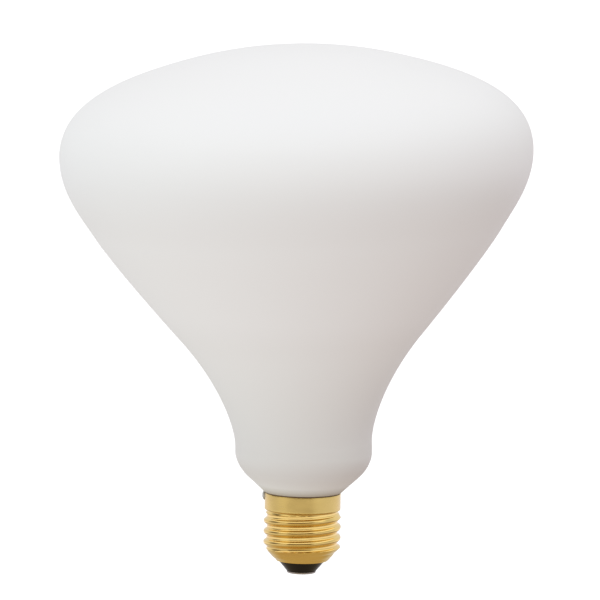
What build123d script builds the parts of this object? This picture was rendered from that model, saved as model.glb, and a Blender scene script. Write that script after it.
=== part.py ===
from build123d import *
import math
import os

# A large opal light bulb on a brass Edison screw cap.
# Lengths are in millimetres and angles in degrees. The origin is the centre of the contact's lowest
# face, +Z runs up the axis of the cap, and the globe's neck bends a little towards -X.
# Heights of the glass are counted from the contact, along the centre line of cap and neck.

# Screw shell: thin brass sheet, rolled with a round right-hand thread
rim_height = 27.66
sheet_thickness = 0.3
collar_diameter = 25.8
collar_bottom_height = 21.85
thread_diameter = 26.3
root_diameter = 24.16
thread_pitch = 3.629
thread_turns = 5.25
top_crest_height = 19.75
thread_fade_height = 9.2
thread_fade_angle = 42.0
thread_lead_angle = 50.0
shell_end_height = 4.25
shell_end_diameter = 16.0
shell_end_round = 6.5

# Black insulator, moulded into the shell's lower end
insulator_tip_diameter = 10.1
insulator_top_height = 7.0

# Centre contact: a shallow disc under the insulator
contact_diameter = 9.8
contact_height = 0.75
contact_edge_height = 0.4
contact_land_diameter = 5.2

# Capping cement, between the glass and the shell
cement_bead_height = 0.35
cement_bead_inset = 0.1
cement_depth = 4.6

# Lower glass: plug in the collar, funnel and shoulder
plug_diameter = 24.4
plug_depth = 5.6
plug_round = 1.5
foot_diameter = 26.3
shoulder_height = 33.4
shoulder_diameter = 38.0
shoulder_reach = 3.6
neck_lower_reach = 2.5

# Neck, and the bend that it was blown with
neck_diameter = 46.4
neck_height = 41.6
neck_bend_angle = 2.5
neck_bend_radius = 70.0
neck_upper_reach = 5.0

# Flank: the nearly straight stretch between the throat and the belly
flank_height = 81.8
flank_diameter = 83.2
flank_tilt = 40.6
flank_lower_reach = 22.5
flank_upper_reach = 3.0

# Belly: the round stretch under the widest ring
belly_height = 117.0
belly_diameter = 138.0
belly_tilt = 32.0
belly_lower_reach = 12.5
belly_upper_reach = 8.2

# Widest ring and dome
globe_diameter = 160.0
widest_height = 143.4
widest_lower_reach = 11.3
widest_upper_reach = 18.4
dome_height = 180.0
dome_radius = 150.0
dome_edge_diameter = 75.0
dome_edge_reach = 22.8

# Solder of the side wire, on the collar's top edge
solder_width = 2.0
solder_drop = 2.8
solder_rise = 0.7

# Working values
ridge_seat = 0.05
ridge_root_depth = 1.0
clearance_cut = 1.0

collar_radius = collar_diameter / 2
thread_radius = thread_diameter / 2
root_radius = root_diameter / 2
shell_end_radius = shell_end_diameter / 2
step_round = (collar_radius - root_radius) / 2
end_round_radius = root_radius - shell_end_round
end_round_height = shell_end_height + math.sqrt(shell_end_round**2 - (shell_end_radius - end_round_radius) ** 2)
glass_foot_height = rim_height + cement_bead_height
cement_bottom_height = rim_height - cement_depth

# The thread's section is two equal arcs, crest and root, that meet at a shared tangent
wave_depth = thread_radius - root_radius + ridge_seat
wave_round = (wave_depth**2 + (thread_pitch / 2) ** 2) / (4 * wave_depth)
thread_bottom_height = top_crest_height - 4 * thread_pitch


def heading(angle):
    """Unit step in the half section, at an angle from straight up, outwards positive."""
    return Vector(math.sin(math.radians(angle)), math.cos(math.radians(angle)))


def blend(start, start_angle, start_reach, end, end_angle, end_reach):
    """Smooth curve between two points of the half section, with its heading set at both ends."""
    first, last = Vector(*start), Vector(*end)
    return Bezier(
        first,
        first + heading(start_angle) * start_reach,
        last - heading(end_angle) * end_reach,
        last,
    )


def turned(outline):
    """Solid of revolution about Z from a closed outline in the half section."""
    return revolve(make_face(Plane.XZ * outline), Axis.Z)


def shell_body(skin):
    """Body of revolution inside the shell's outer face, or inside a face that lies skin deeper."""
    outer = collar_radius - skin
    top = rim_height + (clearance_cut if skin else 0)
    lip = Vector(collar_radius - step_round, collar_bottom_height + step_round)
    groove = Vector(root_radius + step_round, collar_bottom_height - step_round)
    end_center = Vector(end_round_radius, end_round_height)
    end_arc = shell_end_round - skin
    end_turn = math.degrees(math.acos((shell_end_radius - end_round_radius) / end_arc))
    arcs = [
        CenterArc(lip, step_round - skin, 0, -90),
        CenterArc(groove, step_round + skin, 90, 90),
        CenterArc(end_center, end_arc, 0, -end_turn),
    ]
    bottom = arcs[2] @ 1
    lines = [
        Polyline((0, top), (outer, top), arcs[0] @ 0),
        Line(arcs[1] @ 1, arcs[2] @ 0),
        Polyline(bottom, (0, bottom.Y), (0, top)),
    ]
    return turned(Curve() + arcs + lines)


def ridge_section(skin):
    """Closed section of the thread's ridge, centred on height zero, with its face skin deeper."""
    half_pitch = thread_pitch / 2
    crest_center = Vector(thread_radius - wave_round, 0)
    root_center = Vector(thread_radius - wave_depth + wave_round, half_pitch)
    crest_arc = wave_round - skin
    root_arc = wave_round + skin
    joint_turn = math.degrees(math.asin(half_pitch / (2 * wave_round)))
    foot_radius = root_radius - skin - ridge_seat / 2
    foot_turn = math.degrees(math.acos((root_center.X - foot_radius) / root_arc))
    sweep_turn = joint_turn - foot_turn
    crest = CenterArc(crest_center, crest_arc, -joint_turn, 2 * joint_turn)
    upper = CenterArc(root_center, root_arc, 180 + joint_turn, -sweep_turn)
    lower = CenterArc((root_center.X, -half_pitch), root_arc, 180 - joint_turn, sweep_turn)
    inside = foot_radius - ridge_root_depth
    back = Polyline(upper @ 1, (inside, (upper @ 1).Y), (inside, (lower @ 1).Y), lower @ 1)
    return make_face(Plane.XZ * (Curve() + [crest, upper, lower, back]))


def thread_envelope(skin):
    """Body of revolution that the ridge stays in: two cones, where it runs out below and above."""
    low_slope = math.tan(math.radians(thread_fade_angle))
    high_slope = math.tan(math.radians(thread_lead_angle))
    low_radius = thread_radius - skin / math.cos(math.radians(thread_fade_angle))
    high_radius = root_radius - ridge_seat - skin / math.cos(math.radians(thread_lead_angle))
    lead_height = collar_bottom_height - step_round
    outside = thread_radius + clearance_cut
    inside = root_radius / 2
    low = thread_fade_height - (low_radius - inside) / low_slope
    high = lead_height + (high_radius - inside) / high_slope
    outline = Polyline(
        (0, low),
        (inside, low),
        (outside, thread_fade_height + (outside - low_radius) / low_slope),
        (outside, lead_height - (outside - high_radius) / high_slope),
        (inside, high),
        (0, high),
        close=True,
    )
    return turned(outline)


def threaded_body(skin):
    """The shell's outside, or its inside at the depth of the sheet, with the helical thread on it."""
    path = Helix(thread_pitch, thread_turns * thread_pitch, thread_radius, center=(0, 0, thread_bottom_height))
    section = Pos(0, 0, thread_bottom_height) * ridge_section(skin)
    ridge = sweep(section, path=path, is_frenet=True) & thread_envelope(skin)
    return shell_body(skin) + ridge


def screw_shell():
    bore = Pos(0, 0, shell_end_height) * Cylinder(shell_end_radius, 2 * clearance_cut)
    return threaded_body(0) - threaded_body(sheet_thickness) - bore


def cap_insulator():
    """Cone below the shell's end, and a plug above it that fills the rounded end of the sheet."""
    inner_arc = shell_end_round - sheet_thickness
    end_turn = math.degrees(math.acos((shell_end_radius - end_round_radius) / inner_arc))
    top_turn = math.degrees(math.asin((end_round_height - insulator_top_height) / inner_arc))
    seat = CenterArc((end_round_radius, end_round_height), inner_arc, -end_turn, end_turn - top_turn)
    cone = Polyline(
        seat @ 1,
        (0, insulator_top_height),
        (0, contact_height),
        (insulator_tip_diameter / 2, contact_height),
        (shell_end_radius, shell_end_height),
        seat @ 0,
    )
    return turned(Curve() + [seat, cone])


def centre_contact():
    edge = contact_diameter / 2
    land = contact_land_diameter / 2
    belly = blend((land, 0), 90, (edge - land) / 2, (edge, contact_edge_height), 0, contact_edge_height / 2)
    sides = Polyline(belly @ 1, (edge, contact_height), (0, contact_height), (0, 0), belly @ 0)
    return turned(Curve() + [belly, sides])


def capping_cement():
    """Ring in the collar round the glass plug, with a thin bead that shows above the rim."""
    wall = collar_radius - sheet_thickness
    plug = plug_diameter / 2
    bead = collar_radius - cement_bead_inset
    outline = Polyline(
        (plug, cement_bottom_height),
        (wall, cement_bottom_height),
        (wall, rim_height),
        (bead, rim_height),
        (bead, glass_foot_height),
        (plug, glass_foot_height),
        close=True,
    )
    return turned(outline)


def lower_glass():
    """Plug, funnel and shoulder, up to the neck."""
    plug = plug_diameter / 2
    foot = Vector(foot_diameter / 2, glass_foot_height)
    shoulder = Vector(shoulder_diameter / 2, shoulder_height)
    neck = Vector(neck_diameter / 2, neck_height)
    plug_end = glass_foot_height - plug_depth
    slope = math.degrees(math.atan2(shoulder.X - foot.X, shoulder.Y - foot.Y))
    round_end = CenterArc((plug - plug_round, plug_end + plug_round), plug_round, -90, 90)
    curve = blend(shoulder, slope, shoulder_reach, neck, 0, neck_lower_reach)
    lines = [
        Polyline((0, neck_height), (0, plug_end), round_end @ 0),
        Polyline(round_end @ 1, (plug, glass_foot_height), foot, shoulder),
        Line(neck, (0, neck_height)),
    ]
    return turned(Curve() + [round_end, curve] + lines)


def neck_bend():
    """Short bent tube stretch: the neck's disc turned about a far axis parallel to Y."""
    hinge = Axis((-neck_bend_radius, 0, neck_height), (0, -1, 0))
    disc = Plane.XY.offset(neck_height) * Circle(neck_diameter / 2)
    return revolve(disc, hinge, neck_bend_angle)


def globe():
    """Throat, flank, belly, widest ring and dome, standing on the end of the neck's bend."""
    bend = math.radians(neck_bend_angle)
    start = neck_height + neck_bend_radius * bend
    neck = (neck_diameter / 2, start)
    flank = (flank_diameter / 2, flank_height)
    belly = (belly_diameter / 2, belly_height)
    widest = (globe_diameter / 2, widest_height)
    dome_turn = math.degrees(math.asin(dome_edge_diameter / 2 / dome_radius))
    dome = CenterArc((0, dome_height - dome_radius), dome_radius, 90 - dome_turn, dome_turn)
    curves = [
        blend(neck, 0, neck_upper_reach, flank, flank_tilt, flank_lower_reach),
        blend(flank, flank_tilt, flank_upper_reach, belly, belly_tilt, belly_lower_reach),
        blend(belly, belly_tilt, belly_upper_reach, widest, 0, widest_lower_reach),
        blend(widest, 0, widest_upper_reach, dome @ 0, dome_turn - 90, dome_edge_reach),
    ]
    base = Polyline((0, dome_height), (0, start), neck)
    upright = turned(Curve() + curves + [dome, base])
    seat = Plane(
        origin=(neck_bend_radius * (math.cos(bend) - 1), 0, neck_height + neck_bend_radius * math.sin(bend)),
        x_dir=(math.cos(bend), 0, math.sin(bend)),
        z_dir=(-math.sin(bend), 0, math.cos(bend)),
    )
    return seat.location * Pos(0, 0, -start) * upright


def glass_bulb():
    return lower_glass() + neck_bend() + globe()


def side_contact_solder(glass, cement):
    """Teardrop of solder over the wire end, seated on the collar's top edge under the glass."""
    half_width = solder_width / 2
    top = rim_height + solder_rise
    bottom = rim_height - solder_drop
    full = rim_height - half_width
    upper = blend((half_width, full), 0, half_width / 2, (0, top), -90, half_width / 2)
    lower = blend((0, bottom), 60, half_width, (half_width, full), 0, half_width)
    drop = turned(Curve() + [upper, lower, Line(upper @ 1, lower @ 0)])
    collar = Cylinder(collar_radius, rim_height, align=(Align.CENTER, Align.CENTER, Align.MIN))
    return Pos(-collar_radius, 0, 0) * drop - collar - cement - glass


glass = glass_bulb()
cement = capping_cement()
pieces = {
    "glass_bulb": glass,
    "screw_shell": screw_shell(),
    "cap_insulator": cap_insulator(),
    "centre_contact": centre_contact(),
    "capping_cement": cement,
    "side_contact_solder": side_contact_solder(glass, cement),
}

os.makedirs("parts", exist_ok=True)
for name, piece in pieces.items():
    export_step(piece, f"parts/{name}.step")
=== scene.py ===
"""Looks of a large opal light bulb on a brass Edison screw cap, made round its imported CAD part.

The file is laid out as an add-on. Property groups hold the sizes and colours, one operator makes each
piece, and a panel in the 3D view's sidebar lists them. Everything is in metres in the part's own frame:
the origin is the centre of the contact's lowest face and +Z runs up the axis of the cap. Heights of the
glass are counted from the contact along the centre line of cap and neck.
"""
import math

import bpy
import numpy as np
from bpy.props import FloatProperty, FloatVectorProperty, PointerProperty
from bpy.types import Operator, Panel, PropertyGroup
from mathutils import Matrix, Vector


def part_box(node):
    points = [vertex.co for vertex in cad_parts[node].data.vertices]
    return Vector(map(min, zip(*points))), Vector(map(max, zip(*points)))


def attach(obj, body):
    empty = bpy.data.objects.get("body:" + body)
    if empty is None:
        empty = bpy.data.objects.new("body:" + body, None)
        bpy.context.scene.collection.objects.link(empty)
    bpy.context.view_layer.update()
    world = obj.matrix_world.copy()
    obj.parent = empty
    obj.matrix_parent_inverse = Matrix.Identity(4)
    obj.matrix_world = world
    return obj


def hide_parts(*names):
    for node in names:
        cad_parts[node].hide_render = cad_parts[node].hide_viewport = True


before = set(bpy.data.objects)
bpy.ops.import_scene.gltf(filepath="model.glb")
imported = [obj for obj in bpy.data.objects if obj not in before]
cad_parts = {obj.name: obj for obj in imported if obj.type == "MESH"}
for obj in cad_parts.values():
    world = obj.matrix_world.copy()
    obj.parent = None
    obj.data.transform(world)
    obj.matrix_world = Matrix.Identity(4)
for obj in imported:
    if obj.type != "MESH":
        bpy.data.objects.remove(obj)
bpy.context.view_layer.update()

bl_info = {
    "name": "Opal light bulb",
    "version": (1, 0, 0),
    "blender": (4, 5, 0),
    "location": "View3D > Sidebar > Bulb",
    "description": "Makes a large opal light bulb with a rolled brass screw cap",
    "category": "Object",
}

MM = 0.001
SHELL_LOW, SHELL_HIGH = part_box("screw_shell")
CONTACT_LOW, CONTACT_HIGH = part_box("centre_contact")
CEMENT_LOW, CEMENT_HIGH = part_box("capping_cement")
GLASS_LOW, GLASS_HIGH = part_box("glass_bulb")

# How much deeper than the root the thread's arcs go, so that they cut into the plain body
THREAD_SEAT = 0.05 * MM
# Rounding of the collar's top edge
RIM_ROUND = 0.22 * MM
# Distance between the rings of points on the shell's outer and inner face
OUTER_SPACING = 0.075 * MM
INNER_SPACING = 0.2 * MM
# Points closer than this are one point, and rings smaller than the next are poles
SAME_PLACE = 1e-7
NO_SIZE = 1e-9
# Heights that the ramps of the glass and of the brass cover from 0 to 1
GLASS_RAMP_HEIGHT = 180 * MM
BRASS_RAMP_HEIGHT = 40 * MM
# Width of the camera's sensor in millimetres
SENSOR_WIDTH = 36.0
# Side of the picture in pixels, and the pixel on which the camera's target falls
PICTURE_SIDE = 600
TARGET_COLUMN = 306.3
TARGET_ROW = 310.0


def length(name, description, default):
    """A length that a user may change, with its default in metres."""
    return FloatProperty(name=name, description=description, default=default, min=0.0, unit="LENGTH")


def angle(name, description, degrees):
    """An angle that a user may change, with its default in degrees."""
    default = math.radians(degrees)
    return FloatProperty(name=name, description=description, default=default, subtype="ANGLE")


def share(name, description, default):
    """A number from nought to one."""
    limits = {"min": 0.0, "max": 1.0, "subtype": "FACTOR"}
    return FloatProperty(name=name, description=description, default=default, **limits)


def paint(name, description, default):
    """A colour, as linear red, green and blue."""
    limits = {"min": 0.0, "subtype": "COLOR"}
    return FloatVectorProperty(name=name, description=description, default=default, **limits)


class GlassSizes(PropertyGroup):
    """Sizes of the blown glass."""

    plug_diameter: length("Plug diameter", "Glass that stands in the collar", 24.4 * MM)
    plug_depth: length("Plug depth", "How far the glass reaches into the collar", 5.6 * MM)
    plug_round: length("Plug round", "Rounding of the plug's end", 1.5 * MM)
    foot_diameter: length("Foot diameter", "Glass just above the cement", 26.3 * MM)
    foot_height: length("Foot height", "Height of the cement's top", CEMENT_HIGH.z)
    shoulder_diameter: length("Shoulder diameter", "Top of the funnel", 38.0 * MM)
    shoulder_height: length("Shoulder height", "Height of the funnel's top", 33.4 * MM)
    shoulder_reach: length("Shoulder reach", "Pull of the shoulder's curve", 3.6 * MM)
    neck_diameter: length("Neck diameter", "Narrow tube above the shoulder", 46.4 * MM)
    neck_height: length("Neck height", "Height where the neck starts to bend", 41.6 * MM)
    neck_lower_reach: length("Neck lower reach", "Pull of the curve into the neck", 2.5 * MM)
    neck_upper_reach: length("Neck upper reach", "Pull of the curve out of the neck", 5.0 * MM)
    bend_angle: angle("Neck bend", "How far the upper glass leans towards -X", 2.5)
    bend_radius: length("Neck bend radius", "Radius of the centre line in the bend", 70.0 * MM)
    flank_diameter: length("Flank diameter", "Middle of the straight flank", 83.2 * MM)
    flank_height: length("Flank height", "Height of the middle of the flank", 81.8 * MM)
    flank_tilt: angle("Flank tilt", "Slope of the flank from upright", 40.6)
    flank_lower_reach: length("Flank lower reach", "Pull of the throat's curve", 22.5 * MM)
    flank_upper_reach: length("Flank upper reach", "Pull of the curve above the flank", 3.0 * MM)
    belly_diameter: length("Belly diameter", "Round stretch under the widest ring", 138.0 * MM)
    belly_height: length("Belly height", "Height of that stretch", 117.0 * MM)
    belly_tilt: angle("Belly tilt", "Slope there from upright", 32.0)
    belly_lower_reach: length("Belly lower reach", "Pull of the curve below it", 12.5 * MM)
    belly_upper_reach: length("Belly upper reach", "Pull of the curve above it", 8.2 * MM)
    globe_diameter: length("Globe diameter", "Widest ring", GLASS_HIGH.y - GLASS_LOW.y)
    widest_height: length("Widest height", "Height of the widest ring", 143.4 * MM)
    widest_lower_reach: length("Widest lower reach", "Pull of the curve into that ring", 11.3 * MM)
    widest_upper_reach: length("Widest upper reach", "Pull of the curve out of that ring", 18.4 * MM)
    dome_height: length("Dome height", "Top of the dome", 180.0 * MM)
    dome_radius: length("Dome radius", "Radius of the flat dome", 150.0 * MM)
    dome_edge_diameter: length("Dome edge diameter", "Where the dome's round edge starts", 75.0 * MM)
    dome_edge_reach: length("Dome edge reach", "Pull of the round edge's curve", 22.8 * MM)


class ShellSizes(PropertyGroup):
    """Sizes of the rolled brass shell."""

    rim_height: length("Rim height", "Top edge of the collar", SHELL_HIGH.z)
    sheet_thickness: length("Sheet thickness", "Thickness of the brass", 0.3 * MM)
    collar_diameter: length("Collar diameter", "Plain stretch under the rim", 25.8 * MM)
    collar_bottom_height: length("Collar bottom height", "Where the collar steps in", 21.85 * MM)
    thread_diameter: length("Thread diameter", "Over the crests", SHELL_HIGH.x * 2)
    root_diameter: length("Root diameter", "In the grooves", 24.16 * MM)
    thread_pitch: length("Thread pitch", "Climb of the thread in one turn", 3.629 * MM)
    top_crest_height: length("Top crest height", "Highest crest, on the +X side", 19.75 * MM)
    fade_height: length("Thread fade height", "Where the thread is still whole", 9.2 * MM)
    fade_angle: angle("Thread fade angle", "Cone that the lower end runs out on", 42.0)
    run_out_relief: share("Run-out relief", "How much of the thread still shows on that cone", 0.3)
    lead_angle: angle("Thread lead angle", "Cone that the upper end runs out on", 28.0)
    end_height: length("Shell end height", "Lower edge of the sheet", SHELL_LOW.z + 0.25 * MM)
    end_diameter: length("Shell end diameter", "Hole in the lower end", 16.0 * MM)
    end_round: length("Shell end round", "Radius of the rounded lower end", 6.5 * MM)


class CapSizes(PropertyGroup):
    """Sizes of the insulator, the contact, the cement and the solder."""

    insulator_tip_diameter: length("Insulator tip diameter", "Lower end of the black cone", 10.1 * MM)
    insulator_top_height: length("Insulator top height", "Top of the plug in the shell", 7.0 * MM)
    insulator_edge_round: length("Insulator edge round", "Rounding of the cone's lower edge", 0.25 * MM)
    contact_diameter: length("Contact diameter", "Disc under the insulator", CONTACT_HIGH.x * 2)
    contact_height: length("Contact height", "Top of the disc", CONTACT_HIGH.z)
    contact_edge_height: length("Contact edge height", "Lower end of the disc's edge", 0.4 * MM)
    contact_land_diameter: length("Contact land diameter", "Flat that touches the holder", 5.2 * MM)
    cement_bead_inset: length("Cement bead inset", "Step from the collar in to the bead", 0.1 * MM)
    cement_bottom_height: length("Cement bottom height", "Lower end of the ring of cement", CEMENT_LOW.z)
    solder_width: length("Solder width", "Drop on the collar's top edge", 1.7 * MM)
    solder_drop: length("Solder drop", "How far the drop hangs below the rim", 2.8 * MM)
    solder_rise: length("Solder rise", "How far it stands above the rim", 0.7 * MM)


class BulbColours(PropertyGroup):
    """Colours of the finishes."""

    opal_shade: paint("Opal shade", "Faint clouds in the white", (0.83, 0.825, 0.815))
    brass: paint("Brass", "Bright rolled sheet", (0.93, 0.69, 0.25))
    brass_worn: paint("Worn brass", "Duller patches", (0.80, 0.53, 0.19))
    # Painted shade: the collar's brass is a darker copy of the bright brass
    shaded_collar_brass: paint("Collar brass", "Satin stretch above the thread", (0.75, 0.56, 0.20))
    insulator: paint("Insulator", "Glossy black moulding", (0.0045, 0.0032, 0.003))
    contact: paint("Contact", "Dull tinned disc", (0.46, 0.41, 0.37))
    cement: paint("Cement", "Brown cement", (0.085, 0.05, 0.028))
    solder: paint("Solder", "Grey tin", (0.80, 0.80, 0.77))


class RoomColours(PropertyGroup):
    """Light of the soft studio's walls, as the glass gets it."""

    ceiling: paint("Ceiling", "Light from above", (1.18, 1.18, 1.21))
    ground: paint("Ground", "Light from below", (0.53, 0.415, 0.375))
    front_foot: paint("Front foot", "Light from low on the camera's side", (0.98, 0.96, 0.90))
    front_top: paint("Front top", "Light from high on the camera's side", (1.08, 1.11, 1.14))
    back_foot: paint("Back foot", "Light from low behind the bulb", (0.55, 0.54, 0.53))
    back_top: paint("Back top", "Light from high behind the bulb", (0.78, 0.76, 0.69))
    left_foot: paint("Left foot", "Light from low on the left", (1.74, 1.91, 1.95))
    left_top: paint("Left top", "Light from high on the left", (0.28, 0.22, 0.19))
    right_foot: paint("Right foot", "Light from low on the right", (0.17, 0.01, 0.01))
    right_top: paint("Right top", "Light from high on the right", (1.04, 1.12, 1.11))


class MirrorColours(PropertyGroup):
    """What the polished metal mirrors of the studio."""

    overhead: paint("Overhead", "Ceiling right above", (0.93, 0.98, 1.05))
    soft_box: paint("Soft box", "Large soft boxes high up", (1.15, 1.10, 1.05))
    horizon: paint("Horizon", "Lit stretch in front, just under the bulb's height", (1.00, 0.95, 0.92))
    horizon_back: paint("Back horizon", "The same stretch behind the bulb", (1.00, 0.96, 1.06))
    table: paint("Table", "Dim warm table in front", (0.42, 0.30, 0.10))
    table_sides: paint("Table sides", "Paler table at the left and behind", (0.62, 0.59, 0.58))
    table_right: paint("Table right", "Darker table at the right", (0.36, 0.30, 0.28))
    below: paint("Below", "Table right below", (0.50, 0.39, 0.23))
    dusk: paint("Dusk", "Unlit room behind the camera", (0.14, 0.10, 0.04))
    left_window: paint("Left window", "Lit patch left of the camera", (0.58, 0.54, 0.46))
    left_wall: paint("Left wall", "Dim wall on the left", (0.24, 0.22, 0.20))
    right_wall: paint("Right wall", "Lit wall on the right", (0.62, 0.63, 0.62))
    backdrop: paint("Backdrop", "Lit backdrop behind the bulb", (0.82, 0.81, 0.84))


class StageSettings(PropertyGroup):
    """Camera, light and floor."""

    target_height: length("Target height", "Point on the cap's axis that the camera looks at", 90.0 * MM)
    distance: length("Camera distance", "From the target to the camera", 2.2)
    elevation: angle("Camera elevation", "Height of the camera above the horizon", 6.8)
    roll: angle("Camera roll", "Lean of the camera, which leans the cap the other way", 1.1)
    lens: FloatProperty(name="Lens", description="Focal length for a 36 mm sensor", default=390.3)
    floor_drop: length("Floor drop", "How far the floor lies below the contact", 1.5)
    floor_radius: length("Floor radius", "Size of the round floor", 60.0)
    floor: paint("Floor", "Pale floor", (0.9, 0.9, 0.9))
    floor_shade: paint("Floor shade", "Faint clouds in the floor", (0.8, 0.8, 0.8))


def heading(tilt):
    """Unit step in the half section, at an angle from straight up, outwards positive."""
    return np.array([math.sin(tilt), math.cos(tilt)])


def line(start, end, count=2):
    """Evenly spaced points of a straight line."""
    return np.linspace(start, end, count)


def arc(center, radius, start, turn, count):
    """Points center + radius (cos a, sin a), for a from start through turn, in degrees."""
    turns = np.radians(np.linspace(start, start + turn, count))
    return np.asarray(center) + radius * np.stack([np.cos(turns), np.sin(turns)], 1)


def blend(start, start_tilt, start_reach, end, end_tilt, end_reach, count):
    """Cubic Bezier curve (1-t)^3 A + 3 (1-t)^2 t B + 3 (1-t) t^2 C + t^3 D between two points A and D.

    B lies start_reach past A along its heading, and C lies end_reach before D along its heading.
    """
    t = np.linspace(0.0, 1.0, count)[:, None]
    first, last = np.asarray(start), np.asarray(end)
    second = first + heading(start_tilt) * start_reach
    third = last - heading(end_tilt) * end_reach
    return (1 - t) ** 3 * first + 3 * (1 - t) ** 2 * t * second + 3 * (1 - t) * t**2 * third + t**3 * last


def joined(*curves):
    """One outline from curves that follow each other, without the points where they meet twice."""
    outline = curves[0]
    for curve in curves[1:]:
        gap = np.linalg.norm(curve[0] - outline[-1])
        outline = np.concatenate([outline, curve[1:] if gap < SAME_PLACE else curve])
    return outline


def rings(outline, columns):
    """Points of a surface of revolution: radius (cos a, sin a) and height, for a all round."""
    turns = np.linspace(0.0, math.tau, columns, endpoint=False)
    radius, height = outline[:, :1], outline[:, 1:]
    flat = np.zeros_like(turns)
    return np.stack([radius * np.cos(turns), radius * np.sin(turns), height + flat], -1)


def bent_neck(size, outline, columns):
    """Points of the glass: rings square to a centre line that bends in the neck.

    The centre line runs up the cap's axis, then along an arc of bend_radius in the plane of X and Z
    towards -X, and then straight on at bend_angle. A ring's place is the point of that line at the
    outline's height, and its +X side points along the line's own normal.
    """
    turns = np.linspace(0.0, math.tau, columns, endpoint=False)
    radius, height = outline[:, 0], outline[:, 1]
    lean = np.clip((height - size.neck_height) / size.bend_radius, 0.0, size.bend_angle)
    straight = np.maximum(0.0, height - size.neck_height - size.bend_radius * size.bend_angle)
    center_x = size.bend_radius * (np.cos(lean) - 1) - straight * math.sin(size.bend_angle)
    below = np.minimum(height, size.neck_height)
    center_z = below + size.bend_radius * np.sin(lean) + straight * math.cos(size.bend_angle)
    across = radius[:, None] * np.cos(turns)
    x = center_x[:, None] + across * np.cos(lean)[:, None]
    y = radius[:, None] * np.sin(turns)
    z = center_z[:, None] + across * np.sin(lean)[:, None]
    return np.stack([x, y, z], -1)


def piece_from_rings(name, points, sharp=math.radians(40)):
    """Closed mesh from rings of points, each counter-clockwise from above.

    Where the first and last rings have no size, they become poles that fans of triangles close.
    Otherwise the last ring is joined to the first, as round a tube.
    """
    spread = np.ptp(points[0], axis=0).max() + np.ptp(points[-1], axis=0).max()
    poles = spread < NO_SIZE
    body = points[1:-1] if poles else points
    rows, columns = body.shape[:2]
    index = np.arange(rows * columns).reshape(rows, columns)
    low = index[:-1] if poles else index
    high = index[1:] if poles else np.roll(index, -1, 0)
    quads = np.stack([low, np.roll(low, -1, 1), np.roll(high, -1, 1), high], -1).reshape(-1, 4)
    places = body.reshape(-1, 3)
    faces = quads.tolist()
    if poles:
        places = np.concatenate([places, points[0, :1], points[-1, :1]])
        bottom = np.full(columns, rows * columns)
        faces += np.stack([index[0], bottom, np.roll(index[0], -1)], 1).tolist()
        faces += np.stack([index[-1], np.roll(index[-1], -1), bottom + 1], 1).tolist()
    mesh = bpy.data.meshes.new(name)
    mesh.from_pydata(places, [], faces)
    mesh.polygons.foreach_set("use_smooth", np.ones(len(faces), bool))
    mesh.set_sharp_from_angle(angle=sharp)
    if mesh.validate():
        raise RuntimeError(f"{name} has faces that can't be used")
    piece = bpy.data.objects.new(name, mesh)
    bpy.context.scene.collection.objects.link(piece)
    return piece


def place(piece, material, node, slot):
    """Finishes a piece, puts it in the place of its CAD node and lets it ride with the part."""
    piece.data.materials.append(material)
    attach(piece, "root")
    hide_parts(node)


def glass_outline(size):
    """Half section of the glass, from the middle of the plug's end to the top of the dome."""
    plug = size.plug_diameter / 2
    plug_end = size.foot_height - size.plug_depth
    foot = (size.foot_diameter / 2, size.foot_height)
    shoulder = (size.shoulder_diameter / 2, size.shoulder_height)
    neck = (size.neck_diameter / 2, size.neck_height)
    bend_end = (neck[0], size.neck_height + size.bend_radius * size.bend_angle)
    flank = (size.flank_diameter / 2, size.flank_height)
    belly = (size.belly_diameter / 2, size.belly_height)
    widest = (size.globe_diameter / 2, size.widest_height)
    slope = math.atan2(shoulder[0] - foot[0], shoulder[1] - foot[1])
    dome_turn = math.asin(size.dome_edge_diameter / 2 / size.dome_radius)
    dome_center = (0.0, size.dome_height - size.dome_radius)
    dome_degrees = math.degrees(dome_turn)
    dome = arc(dome_center, size.dome_radius, start=90 - dome_degrees, turn=dome_degrees, count=34)
    dome[-1, 0] = 0.0
    plug_center = (plug - size.plug_round, plug_end + size.plug_round)
    quarter = arc(plug_center, size.plug_round, start=-90, turn=90, count=7)
    return joined(
        line((0.0, plug_end), quarter[0], count=5),
        quarter,
        line(quarter[-1], (plug, size.foot_height), count=4),
        line((plug, size.foot_height), foot),
        line(foot, shoulder, count=10),
        blend(shoulder, slope, size.shoulder_reach,
              neck, 0.0, size.neck_lower_reach, count=22),
        line(neck, bend_end, count=7),
        blend(bend_end, 0.0, size.neck_upper_reach,
              flank, size.flank_tilt, size.flank_lower_reach, count=56),
        blend(flank, size.flank_tilt, size.flank_upper_reach,
              belly, size.belly_tilt, size.belly_lower_reach, count=36),
        blend(belly, size.belly_tilt, size.belly_upper_reach,
              widest, 0.0, size.widest_lower_reach, count=32),
        blend(widest, 0.0, size.widest_upper_reach,
              dome[0], dome_turn - math.pi / 2, size.dome_edge_reach, count=56),
        dome,
    )


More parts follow.
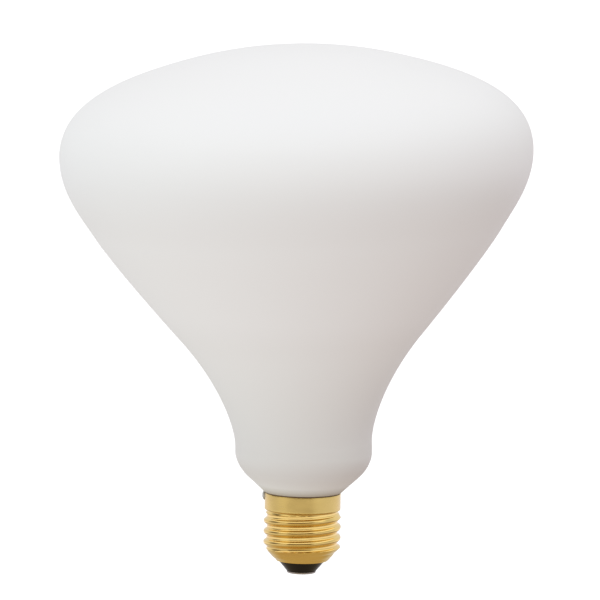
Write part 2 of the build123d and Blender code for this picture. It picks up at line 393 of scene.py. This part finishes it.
def thread_radius(size, skin, height, turns):
    """Radius of the rolled thread at a height and an angle, for a face that lies skin deep.

    The crest climbs one pitch a turn. Its section is two arcs that share a tangent: the crest's, whose
    centre lies inside the sheet, and the groove's, half a pitch away, whose centre lies outside.
    """
    pitch = size.thread_pitch
    depth = (size.thread_diameter - size.root_diameter) / 2 + THREAD_SEAT
    round_radius = (depth**2 + (pitch / 2) ** 2) / (4 * depth)
    crest_center = size.thread_diameter / 2 - round_radius
    groove_center = size.thread_diameter / 2 - depth + round_radius
    rise = height - size.top_crest_height - pitch * turns / math.tau
    offset = np.abs((rise + pitch / 2) % pitch - pitch / 2)
    crest_arc, groove_arc = round_radius - skin, round_radius + skin
    meeting = crest_arc * (pitch / 2) / (2 * round_radius)
    crest = crest_center + np.sqrt(np.maximum(crest_arc**2 - offset**2, 0.0))
    groove = groove_center - np.sqrt(np.maximum(groove_arc**2 - (pitch / 2 - offset) ** 2, 0.0))
    return np.where(offset < meeting, crest, groove)


def rounded_end(shell):
    """Centre of the shell's rounded lower end in the half section, as a radius and a height."""
    center = shell.root_diameter / 2 - shell.end_round
    across = shell.end_diameter / 2 - center
    return center, shell.end_height + math.sqrt(shell.end_round**2 - across**2)


def shell_face(size, skin, spacing, columns):
    """Rings of the shell's outer or inner face, from the lower end up to the rim.

    The radius is the largest of the plain body's and the thread's, and the thread's is cut off by two
    cones: a low one where it runs out on the rounded end, and a high one just under the collar. The low
    cone dips with the thread, by run_out_relief times the thread's own dip, so that its turn shows.
    """
    collar, root = size.collar_diameter / 2, size.root_diameter / 2
    step = (collar - root) / 2
    end_center, end_height = rounded_end(size)
    end_arc = size.end_round - skin
    end_turn = math.degrees(math.acos((size.end_diameter / 2 - end_center) / end_arc))
    groove_top = size.collar_bottom_height - step
    arc_count = int(math.radians(end_turn) * end_arc / spacing)
    root_count = int((groove_top - end_height) / spacing)
    rounding = RIM_ROUND if skin == 0 else 0.0
    rim = size.rim_height - rounding
    step_top = size.collar_bottom_height + step
    outline = joined(
        arc((end_center, end_height), end_arc, start=-end_turn, turn=end_turn, count=arc_count),
        line((root - skin, end_height), (root - skin, groove_top), count=root_count),
        arc((root + step, groove_top), step + skin, start=180, turn=-90, count=9),
        arc((collar - step, step_top), step - skin, start=-90, turn=90, count=9),
        line((collar - skin, step_top), (collar - skin, rim), count=16),
    )
    if rounding:
        edge = arc((collar - rounding, rim), rounding, start=0, turn=80, count=8)
        outline = joined(outline, edge)
    turns = np.linspace(0.0, math.tau, columns, endpoint=False)
    radius, height = outline[:, :1], outline[:, 1:] + np.zeros_like(turns)
    low_radius = size.thread_diameter / 2 - skin / math.cos(size.fade_angle)
    low_cone = low_radius + (height - size.fade_height) * math.tan(size.fade_angle)
    high_radius = root - THREAD_SEAT - skin / math.cos(size.lead_angle)
    high_cone = high_radius + (groove_top - height) * math.tan(size.lead_angle)
    thread = thread_radius(size, skin, height, turns)
    low_cone = low_cone - size.run_out_relief * (size.thread_diameter / 2 - skin - thread)
    radius = np.maximum(radius, np.minimum(thread, np.minimum(low_cone, high_cone)))
    return np.stack([radius * np.cos(turns), radius * np.sin(turns), height], -1)


def insulator_outline(shell, cap):
    """Half section of the insulator: a cone under the shell and a plug that fills its rounded end."""
    end_center, end_height = rounded_end(shell)
    end_radius = shell.end_diameter / 2
    inner_arc = shell.end_round - shell.sheet_thickness
    end_turn = math.degrees(math.acos((end_radius - end_center) / inner_arc))
    top_turn = math.degrees(math.asin((end_height - cap.insulator_top_height) / inner_arc))
    tip = cap.insulator_tip_diameter / 2
    edge = cap.insulator_edge_round
    seat_center = (end_center, end_height)
    seat = arc(seat_center, inner_arc, start=-end_turn, turn=end_turn - top_turn, count=14)
    edge_top = cap.contact_height + edge
    return joined(
        line((0.0, cap.contact_height), (tip - edge, cap.contact_height), count=6),
        arc((tip - edge, edge_top), edge, start=-90, turn=70, count=6),
        line((tip, edge_top), (end_radius, shell.end_height), count=12),
        seat,
        line(seat[-1], (0.0, cap.insulator_top_height), count=6),
    )


def contact_outline(cap):
    """Half section of the contact: a flat land, a belly and an upright edge."""
    land, edge = cap.contact_land_diameter / 2, cap.contact_diameter / 2
    reach = (edge - land) / 2
    belly = blend((land, 0.0), math.pi / 2, reach,
                  (edge, cap.contact_edge_height), 0.0, cap.contact_edge_height / 2, count=16)
    return joined(
        line((0.0, 0.0), (land, 0.0), count=6),
        belly,
        line(belly[-1], (edge, cap.contact_height), count=3),
        line((edge, cap.contact_height), (0.0, cap.contact_height), count=5),
    )


def cement_outline(glass, shell, cap):
    """Closed section of the ring of cement, with the bead that shows above the rim."""
    wall = shell.collar_diameter / 2 - shell.sheet_thickness
    plug = glass.plug_diameter / 2
    bead = shell.collar_diameter / 2 - cap.cement_bead_inset
    bottom, rim, top = cap.cement_bottom_height, shell.rim_height, glass.foot_height
    loop = joined(
        line((plug, bottom), (wall, bottom), count=3),
        line((wall, bottom), (wall, rim), count=8),
        line((wall, rim), (bead, rim), count=3),
        line((bead, rim), (bead, top), count=5),
        line((bead, top), (plug, top), count=4),
        line((plug, top), (plug, bottom), count=8),
    )
    return loop[:-1]


def solder_points(glass, shell, cap, columns):
    """Rings of a teardrop on the collar's top edge at -X.

    A teardrop of revolution stands on the collar's outer face. A point that would lie inside the
    collar, the bead of cement or the glass is moved straight out to that face.
    """
    half = cap.solder_width / 2
    collar = shell.collar_diameter / 2
    full = shell.rim_height - half
    top = shell.rim_height + cap.solder_rise
    bottom = shell.rim_height - cap.solder_drop
    drop = joined(
        blend((0.0, bottom), math.radians(60), half, (half, full), 0.0, half, count=26),
        blend((half, full), 0.0, half / 2, (0.0, top), -math.pi / 2, half / 2, count=20),
    )
    points = rings(drop, columns) - np.array([collar, 0.0, 0.0])
    foot = glass.foot_diameter / 2
    widening = (glass.shoulder_diameter - glass.foot_diameter) / 2
    slope = widening / (glass.shoulder_height - glass.foot_height)
    bead = collar - cap.cement_bead_inset
    height = points[..., 2]
    wall = np.where(height < shell.rim_height, collar, bead)
    funnel = foot + (height - glass.foot_height) * slope
    wall = np.where(height > glass.foot_height, funnel, wall)
    radius = np.hypot(points[..., 0], points[..., 1])
    points[..., :2] *= (np.maximum(radius, wall) / radius)[..., None]
    return points


def math_node(operation, reflected=False):
    """A method that turns a Python operator on a Value into a Math node."""

    def method(value, other):
        pair = (other, value) if reflected else (value, other)
        return value.board.math(operation, *pair)

    return method


class Value:
    """A socket of a node tree. Sums, differences, products, quotients and powers become Math nodes."""

    def __init__(self, board, socket):
        self.board = board
        self.socket = socket

    __add__ = math_node("ADD")
    __radd__ = math_node("ADD", reflected=True)
    __sub__ = math_node("SUBTRACT")
    __rsub__ = math_node("SUBTRACT", reflected=True)
    __mul__ = math_node("MULTIPLY")
    __rmul__ = math_node("MULTIPLY", reflected=True)
    __truediv__ = math_node("DIVIDE")
    __rtruediv__ = math_node("DIVIDE", reflected=True)
    __pow__ = math_node("POWER")


class Board:
    """The node tree of a material or of the world."""

    def __init__(self, owner):
        owner.use_nodes = True
        self.tree = owner.node_tree
        self.tree.nodes.clear()

    def node(self, kind, settings=None, inputs=None, output=0):
        """Adds a node with its settings and its inputs' numbers, colours or links, and gives an output."""
        made = self.tree.nodes.new(kind)
        for key, value in (settings or {}).items():
            if key == "stops":
                self.set_ramp(made.color_ramp, value)
            else:
                setattr(made, key, value)
        for key, value in (inputs or {}).items():
            if isinstance(value, Value):
                self.tree.links.new(value.socket, made.inputs[key])
            else:
                made.inputs[key].default_value = value
        return Value(self, made.outputs[output]) if len(made.outputs) else made

    @staticmethod
    def set_ramp(ramp, stops):
        """Gives a colour ramp its stops, as pairs of a position and a grey level or a colour."""
        while len(ramp.elements) < len(stops):
            ramp.elements.new(0.5)
        for element, (position, level) in zip(ramp.elements, stops):
            element.position = position
            element.color = opaque((level,) * 3 if isinstance(level, float) else level)

    def ramp(self, factor, *stops):
        """Colour or grey level that a factor picks from stops."""
        return self.node("ShaderNodeValToRGB", {"stops": stops}, {0: factor})

    def mix(self, factor, first, second):
        """Colour between two colours."""
        inputs = {0: factor, 6: opaque(first), 7: opaque(second)}
        return self.node("ShaderNodeMix", {"data_type": "RGBA"}, inputs, output=2)

    def math(self, operation, *values):
        """Result of one Math node."""
        return self.node("ShaderNodeMath", {"operation": operation}, dict(enumerate(values)))

    def vector(self, operation, inputs):
        """Result of one Vector Math node."""
        return self.node("ShaderNodeVectorMath", {"operation": operation}, inputs)

    def object_place(self):
        """Place on the object, in its own coordinates."""
        return self.node("ShaderNodeTexCoord", output="Object")

    def stretched(self, scale):
        """Object coordinates, stretched by a scale along each axis."""
        return self.node("ShaderNodeMapping", None, {"Vector": self.object_place(), "Scale": scale})

    def noise(self, place, scale, detail):
        """Soft random pattern, finer with its scale and more ragged with its detail."""
        inputs = {"Vector": place, "Scale": scale, "Detail": detail}
        return self.node("ShaderNodeTexNoise", None, inputs)

    def parts_of(self, vector):
        """The three coordinates of a vector, as values."""
        split = self.tree.nodes.new("ShaderNodeSeparateXYZ")
        self.tree.links.new(vector.socket, split.inputs[0])
        return [Value(self, out) for out in split.outputs]

    def bump(self, height, distance, strength=1.0):
        """Normal of a surface that rises by up to a distance."""
        inputs = {"Height": height, "Distance": distance, "Strength": strength}
        return self.node("ShaderNodeBump", None, inputs)

    def surface(self, inputs):
        """A Principled surface as the material's output."""
        shader = self.node("ShaderNodeBsdfPrincipled", None, inputs)
        self.node("ShaderNodeOutputMaterial", None, {"Surface": shader})


def opaque(colour):
    """A colour with its alpha, where it is given as three numbers."""
    return colour if isinstance(colour, Value) else (*colour, 1.0)


def times(colour, factor):
    """A colour with each of its parts multiplied by a factor."""
    return [factor * level for level in colour]


def new_material(name):
    """A new material and its empty board."""
    material = bpy.data.materials.new(name)
    return material, Board(material)


def opal_material(colours):
    """Matt opal glass, with a fine frosted grain and the slow waves of a blown wall.

    Its white carries painted light and shade by height: a brown cement stain with painted warm shade by
    the cement, a painted pale band on the funnel, greyest in the neck, clear on the flank, a band of
    painted shade under the widest ring, and clear again on the dome.
    """
    material, board = new_material("matt_opal_glass")
    place_on = board.object_place()
    _, _, height = board.parts_of(place_on)
    clouds = board.noise(place_on, scale=22.0, detail=3.0)
    grain = board.noise(place_on, scale=3200.0, detail=2.0)
    waves = board.noise(place_on, scale=30.0, detail=1.0)
    # Brown cement stain at the glass's foot, then painted warm shade next to the brass, then a painted
    # pale band of light on the funnel
    cement_stain_and_painted_shade = (
        (0.1545, (0.46, 0.41, 0.32)), (0.160, (0.58, 0.555, 0.50)),
        (0.165, (0.69, 0.68, 0.63)), (0.172, (0.785, 0.78, 0.76)),
    )
    # Greyest in the neck and lighter up the throat, as part of the painted shading by height
    neck = (
        (0.20, (0.70, 0.68, 0.66)), (0.24, (0.69, 0.672, 0.65)), (0.28, (0.725, 0.712, 0.695)),
        (0.34, (0.775, 0.765, 0.75)), (0.42, (0.84, 0.838, 0.83)),
    )
    flank = ((0.50, 0.88), (0.56, 0.878), (0.62, 0.87), (0.68, 0.853))
    # Painted shade: a slightly darker band just under the widest ring
    painted_shade_under_ring = ((0.72, 0.84), (0.745, 0.835), (0.77, 0.842))
    dome = ((0.79, 0.855), (0.81, 0.867), (0.84, 0.875))
    # The ramp paints the glass's light and shade by height into its base colour
    white = board.ramp(height / GLASS_RAMP_HEIGHT, *cement_stain_and_painted_shade, *neck, *flank, *painted_shade_under_ring, *dome)
    board.surface({
        "Base Color": board.mix(clouds * 0.06, white, colours.opal_shade),
        "Roughness": 0.42 + clouds * 0.1,
        "Normal": board.bump(grain * 0.02 + waves, 0.25 * MM, 0.6),
        "IOR": 1.5,
        "Specular IOR Level": 0.35,
    })
    return material


def brass_material(colours):
    """Rolled brass sheet: fine lines round the shell, slow dents, duller patches and a satin collar.

    The thread is the most polished. The rounded lower end and the collar, which no roller pressed, are
    rougher, and the collar's colour is a darker copy of the brass that paints shade on it.
    """
    material, board = new_material("rolled_brass")
    lines = board.noise(board.stretched((60.0, 60.0, 9000.0)), scale=1.0, detail=2.0)
    patches = board.noise(board.stretched((90.0, 90.0, 220.0)), scale=1.0, detail=3.0)
    dents = board.noise(board.stretched((110.0, 110.0, 160.0)), scale=1.0, detail=1.0)
    worn = board.ramp(patches, (0.42, 0.0), (0.72, 1.0))
    _, _, height = board.parts_of(board.object_place())
    rise = height / BRASS_RAMP_HEIGHT
    lower_end = ((0.15, 0.6), (0.20, 0.0))
    collar_step = ((0.535, 0.0), (0.55, 1.0))
    # Mask of the collar, which gets the darker painted-shade copy of the brass
    collar = board.ramp(rise, *collar_step)
    unrolled = board.ramp(rise, *lower_end, *collar_step)
    rolled = board.mix(worn * 0.45, colours.brass, colours.brass_worn)
    board.surface({
        "Base Color": board.mix(collar, rolled, colours.shaded_collar_brass),
        "Metallic": 1.0,
        "Roughness": 0.05 + unrolled * 0.17 + worn * 0.05 + lines * 0.03,
        "Normal": board.bump(lines * 0.02 + dents, 0.10 * MM, 0.8),
    })
    return material


def insulator_material(colours):
    """Glossy black moulding with faint flow marks."""
    material, board = new_material("black_moulding")
    flow = board.noise(board.stretched((250.0, 250.0, 500.0)), scale=1.0, detail=3.0)
    board.surface({
        "Base Color": board.mix(flow, colours.insulator, times(colours.insulator, 1.6)),
        "Roughness": 0.18 + flow * 0.14,
        "Normal": board.bump(flow, 0.05 * MM, 0.6),
        "Specular IOR Level": 0.22,
    })
    return material


def contact_material(colours):
    """Dull tinned metal with turned rings and small stains."""
    material, board = new_material("tinned_contact")
    x, y, _ = board.parts_of(board.object_place())
    radius = (x * x + y * y) ** 0.5
    ring = board.math("SINE", radius * 30000.0)
    stains = board.noise(board.object_place(), scale=900.0, detail=3.0)
    board.surface({
        "Base Color": board.mix(stains * 0.6, colours.contact, times(colours.contact, 0.6)),
        "Metallic": 0.9,
        "Roughness": 0.3 + stains * 0.2,
        "Normal": board.bump(ring * 0.2 + stains, 0.02 * MM, 0.5),
    })
    return material


def cement_material(colours):
    """Matt brown cement with a coarse grain."""
    material, board = new_material("brown_capping_cement")
    grain = board.noise(board.object_place(), scale=1800.0, detail=4.0)
    board.surface({
        "Base Color": board.mix(grain, colours.cement, times(colours.cement, 2.0)),
        "Roughness": 0.75 + grain * 0.2,
        "Normal": board.bump(grain, 0.1 * MM),
    })
    return material


def solder_material(colours):
    """Satin tin with a wrinkled skin."""
    material, board = new_material("grey_tin_solder")
    skin = board.noise(board.object_place(), scale=1300.0, detail=3.0)
    board.surface({
        "Base Color": board.mix(skin, colours.solder, times(colours.solder, 0.55)),
        "Metallic": 0.95,
        "Roughness": 0.22 + skin * 0.2,
        "Normal": board.bump(skin, 0.25 * MM),
    })
    return material


class MakeGlass(Operator):
    """Make the blown opal glass"""

    bl_idname = "opal_bulb.make_glass"
    bl_label = "Opal glass"

    def execute(self, context):
        size = context.scene.glass_sizes
        outline = glass_outline(size)
        piece = piece_from_rings("blown_opal_glass", bent_neck(size, outline, columns=252))
        place(piece, opal_material(context.scene.bulb_colours), "glass_bulb", "opal_glass")
        return {"FINISHED"}


class MakeShell(Operator):
    """Make the thin brass shell with its rolled thread, closed inside and out"""

    bl_idname = "opal_bulb.make_shell"
    bl_label = "Screw shell"

    def execute(self, context):
        size = context.scene.shell_sizes
        columns = 216
        outside = shell_face(size, 0.0, OUTER_SPACING, columns)
        inside = shell_face(size, size.sheet_thickness, INNER_SPACING, columns)
        piece = piece_from_rings("rolled_brass_shell", np.concatenate([outside, inside[::-1]]))
        place(piece, brass_material(context.scene.bulb_colours), "screw_shell", "brass_sheet")
        return {"FINISHED"}


class MakeInsulator(Operator):
    """Make the black insulator"""

    bl_idname = "opal_bulb.make_insulator"
    bl_label = "Insulator"

    def execute(self, context):
        outline = insulator_outline(context.scene.shell_sizes, context.scene.cap_sizes)
        piece = piece_from_rings("black_insulator_cone", rings(outline, columns=160))
        place(piece, insulator_material(context.scene.bulb_colours), "cap_insulator", "black_insulator")
        return {"FINISHED"}


class MakeContact(Operator):
    """Make the centre contact"""

    bl_idname = "opal_bulb.make_contact"
    bl_label = "Centre contact"

    def execute(self, context):
        outline = contact_outline(context.scene.cap_sizes)
        piece = piece_from_rings("tinned_contact_disc", rings(outline, columns=128))
        place(piece, contact_material(context.scene.bulb_colours), "centre_contact", "contact_metal")
        return {"FINISHED"}


class MakeCement(Operator):
    """Make the ring of capping cement"""

    bl_idname = "opal_bulb.make_cement"
    bl_label = "Capping cement"

    def execute(self, context):
        scene = context.scene
        outline = cement_outline(scene.glass_sizes, scene.shell_sizes, scene.cap_sizes)
        piece = piece_from_rings("brown_cement_ring", rings(outline, columns=240))
        place(piece, cement_material(scene.bulb_colours), "capping_cement", "brown_cement")
        return {"FINISHED"}


class MakeSolder(Operator):
    """Make the drop of solder on the collar"""

    bl_idname = "opal_bulb.make_solder"
    bl_label = "Side contact solder"

    def execute(self, context):
        scene = context.scene
        points = solder_points(scene.glass_sizes, scene.shell_sizes, scene.cap_sizes, columns=72)
        piece = piece_from_rings("grey_solder_drop", points, sharp=math.radians(70))
        place(piece, solder_material(scene.bulb_colours), "side_contact_solder", "tin_solder")
        return {"FINISHED"}


def room_light(board, room):
    """Colour of a soft room by direction: each wall's colour, weighted by the square of the direction.

    A side wall turns from its foot colour to its top colour as the direction rises.
    """
    x, y, z = board.parts_of(board.node("ShaderNodeTexCoord", output="Generated"))
    rise = z * 0.5 + 0.5
    left = board.mix(rise, room.left_foot, room.left_top)
    right = board.mix(rise, room.right_foot, room.right_top)
    front = board.mix(rise, room.front_foot, room.front_top)
    back = board.mix(rise, room.back_foot, room.back_top)
    total = (0.0, 0.0, 0.0)
    for part, low, high in ((x, left, right), (y, front, back), (z, room.ground, room.ceiling)):
        wall = board.mix(board.math("GREATER_THAN", part, 0.0), low, high)
        lit = board.vector("SCALE", {0: wall, "Scale": part * part})
        total = board.vector("ADD", {0: total, 1: lit})
    return total


def mirrored_room(board, mirror):
    """Colour that metal mirrors by direction: bands by height, and walls that differ by compass angle.

    The bands lie along z, from the table up to the overhead light. Between the horizon and the soft
    boxes stand the walls, whose colours follow the angle of x and -y, with the camera's side in the
    middle of the ramp.
    """
    x, y, z = board.parts_of(board.node("ShaderNodeTexCoord", output="Generated"))
    rise = z * 0.5 + 0.5
    compass = board.math("ARCTAN2", x, -1.0 * y) / math.tau + 0.5
    overhead = board.ramp(rise, (0.92, mirror.soft_box), (1.0, mirror.overhead))
    horizon = board.ramp(
        compass, (0.18, mirror.horizon_back), (0.33, mirror.horizon),
        (0.60, mirror.horizon), (0.77, mirror.horizon_back),
    )
    table = board.ramp(
        compass, (0.34, mirror.table_sides), (0.42, mirror.table),
        (0.55, mirror.table), (0.63, mirror.table_right),
        (0.84, mirror.table_right), (0.91, mirror.table_sides),
    )
    walls = board.ramp(
        compass, (0.15, mirror.backdrop), (0.21, mirror.left_wall),
        (0.265, mirror.left_wall), (0.30, mirror.left_window),
        (0.36, mirror.left_window), (0.385, mirror.dusk),
        (0.575, mirror.dusk), (0.615, mirror.right_wall),
        (0.77, mirror.right_wall), (0.84, mirror.backdrop),
    )

    def above(low, high):
        """Mask that turns from nought to one between two heights."""
        return board.ramp(rise, (low, 0.0), (high, 1.0))

    table = board.mix(above(0.12, 0.25), mirror.below, table)
    standing = board.mix(above(0.435, 0.46), horizon, walls)
    upper = board.mix(above(0.77, 0.81), standing, overhead)
    return board.mix(above(0.33, 0.37), table, upper)


def studio_world(scene):
    """Soft light from all round, what metal mirrors, and plain white behind the bulb for the camera."""
    world = bpy.data.worlds.new("soft_studio")
    scene.world = world
    board = Board(world)
    colours = (
        room_light(board, scene.room_colours),
        mirrored_room(board, scene.mirror_colours),
        opaque((1.0, 1.0, 1.0)),
    )
    light, mirrored, white = [
        board.node("ShaderNodeBackground", None, {"Color": colour}) for colour in colours
    ]
    glossy = board.node("ShaderNodeLightPath", output="Is Glossy Ray")
    seen = board.node("ShaderNodeLightPath", output="Is Camera Ray")
    both = board.node("ShaderNodeMixShader", None, {0: glossy, 1: light, 2: mirrored})
    both = board.node("ShaderNodeMixShader", None, {0: seen, 1: both, 2: white})
    board.node("ShaderNodeOutputWorld", None, {"Surface": both})


def stage_floor(scene, stage):
    """Round pale floor, far below the bulb, whose holder isn't part of the picture."""
    corners = rings(np.array([[stage.floor_radius, -stage.floor_drop]]), columns=64)[0]
    mesh = bpy.data.meshes.new("pale_floor")
    mesh.from_pydata(corners, [], [list(range(len(corners)))])
    floor = bpy.data.objects.new("pale_floor", mesh)
    scene.collection.objects.link(floor)
    material, board = new_material("pale_floor")
    grain = board.noise(board.object_place(), scale=40.0, detail=2.0)
    board.surface({
        "Base Color": board.mix(grain * 0.02, stage.floor, stage.floor_shade),
        "Roughness": 0.9,
        "Specular IOR Level": 0.0,
        "Emission Color": opaque((1.0, 1.0, 1.0)),
        "Emission Strength": 0.3,
    })
    mesh.materials.append(material)
    floor.visible_diffuse = False
    floor.visible_glossy = False
    floor.visible_shadow = False


def add_camera(scene, stage):
    """Camera at the photograph's viewing angle."""
    target = Vector((0.0, 0.0, stage.target_height))
    back = Vector((0.0, -math.cos(stage.elevation), math.sin(stage.elevation)))
    data = bpy.data.cameras.new("camera")
    data.sensor_width = SENSOR_WIDTH
    data.lens = stage.lens
    data.shift_x = (PICTURE_SIDE / 2 - TARGET_COLUMN) / PICTURE_SIDE
    data.shift_y = (TARGET_ROW - PICTURE_SIDE / 2) / PICTURE_SIDE
    data.clip_end = 200.0
    camera = bpy.data.objects.new("camera", data)
    look = (-back).to_track_quat("-Z", "Y").to_matrix().to_4x4()
    spin = Matrix.Rotation(stage.roll, 4, "Z")
    camera.matrix_world = Matrix.Translation(target + back * stage.distance) @ look @ spin
    scene.collection.objects.link(camera)
    scene.camera = camera


class MakeStage(Operator):
    """Make the floor, the soft studio light and the camera"""

    bl_idname = "opal_bulb.make_stage"
    bl_label = "Stage"

    def execute(self, context):
        scene = context.scene
        stage = scene.stage_settings
        stage_floor(scene, stage)
        add_camera(scene, stage)
        studio_world(scene)
        scene.view_settings.view_transform = "Standard"
        return {"FINISHED"}


class BulbPanel(Panel):
    """Lists the pieces of the bulb"""

    bl_idname = "VIEW3D_PT_opal_bulb"
    bl_label = "Opal light bulb"
    bl_space_type = "VIEW_3D"
    bl_region_type = "UI"
    bl_category = "Bulb"

    def draw(self, context):
        for maker in MAKERS:
            self.layout.operator(maker.bl_idname)
        for group in GROUPS.values():
            settings = getattr(context.scene, group)
            for name in settings.bl_rna.properties.keys():
                if name not in ("name", "rna_type"):
                    self.layout.prop(settings, name)


MAKERS = (MakeGlass, MakeShell, MakeInsulator, MakeContact, MakeCement, MakeSolder, MakeStage)
GROUPS = {
    GlassSizes: "glass_sizes",
    ShellSizes: "shell_sizes",
    CapSizes: "cap_sizes",
    BulbColours: "bulb_colours",
    RoomColours: "room_colours",
    MirrorColours: "mirror_colours",
    StageSettings: "stage_settings",
}


def register():
    """Adds the classes and the scene's settings."""
    for kind in (*GROUPS, *MAKERS, BulbPanel):
        bpy.utils.register_class(kind)
    for kind, name in GROUPS.items():
        setattr(bpy.types.Scene, name, PointerProperty(type=kind))


def unregister():
    """Takes them away again."""
    for name in GROUPS.values():
        delattr(bpy.types.Scene, name)
    for kind in (BulbPanel, *reversed(MAKERS), *reversed(GROUPS)):
        bpy.utils.unregister_class(kind)


def main():
    """Makes every piece and the stage."""
    register()
    bpy.ops.opal_bulb.make_glass()
    bpy.ops.opal_bulb.make_shell()
    bpy.ops.opal_bulb.make_insulator()
    bpy.ops.opal_bulb.make_contact()
    bpy.ops.opal_bulb.make_cement()
    bpy.ops.opal_bulb.make_solder()
    bpy.ops.opal_bulb.make_stage()


if __name__ == "__main__":
    main()
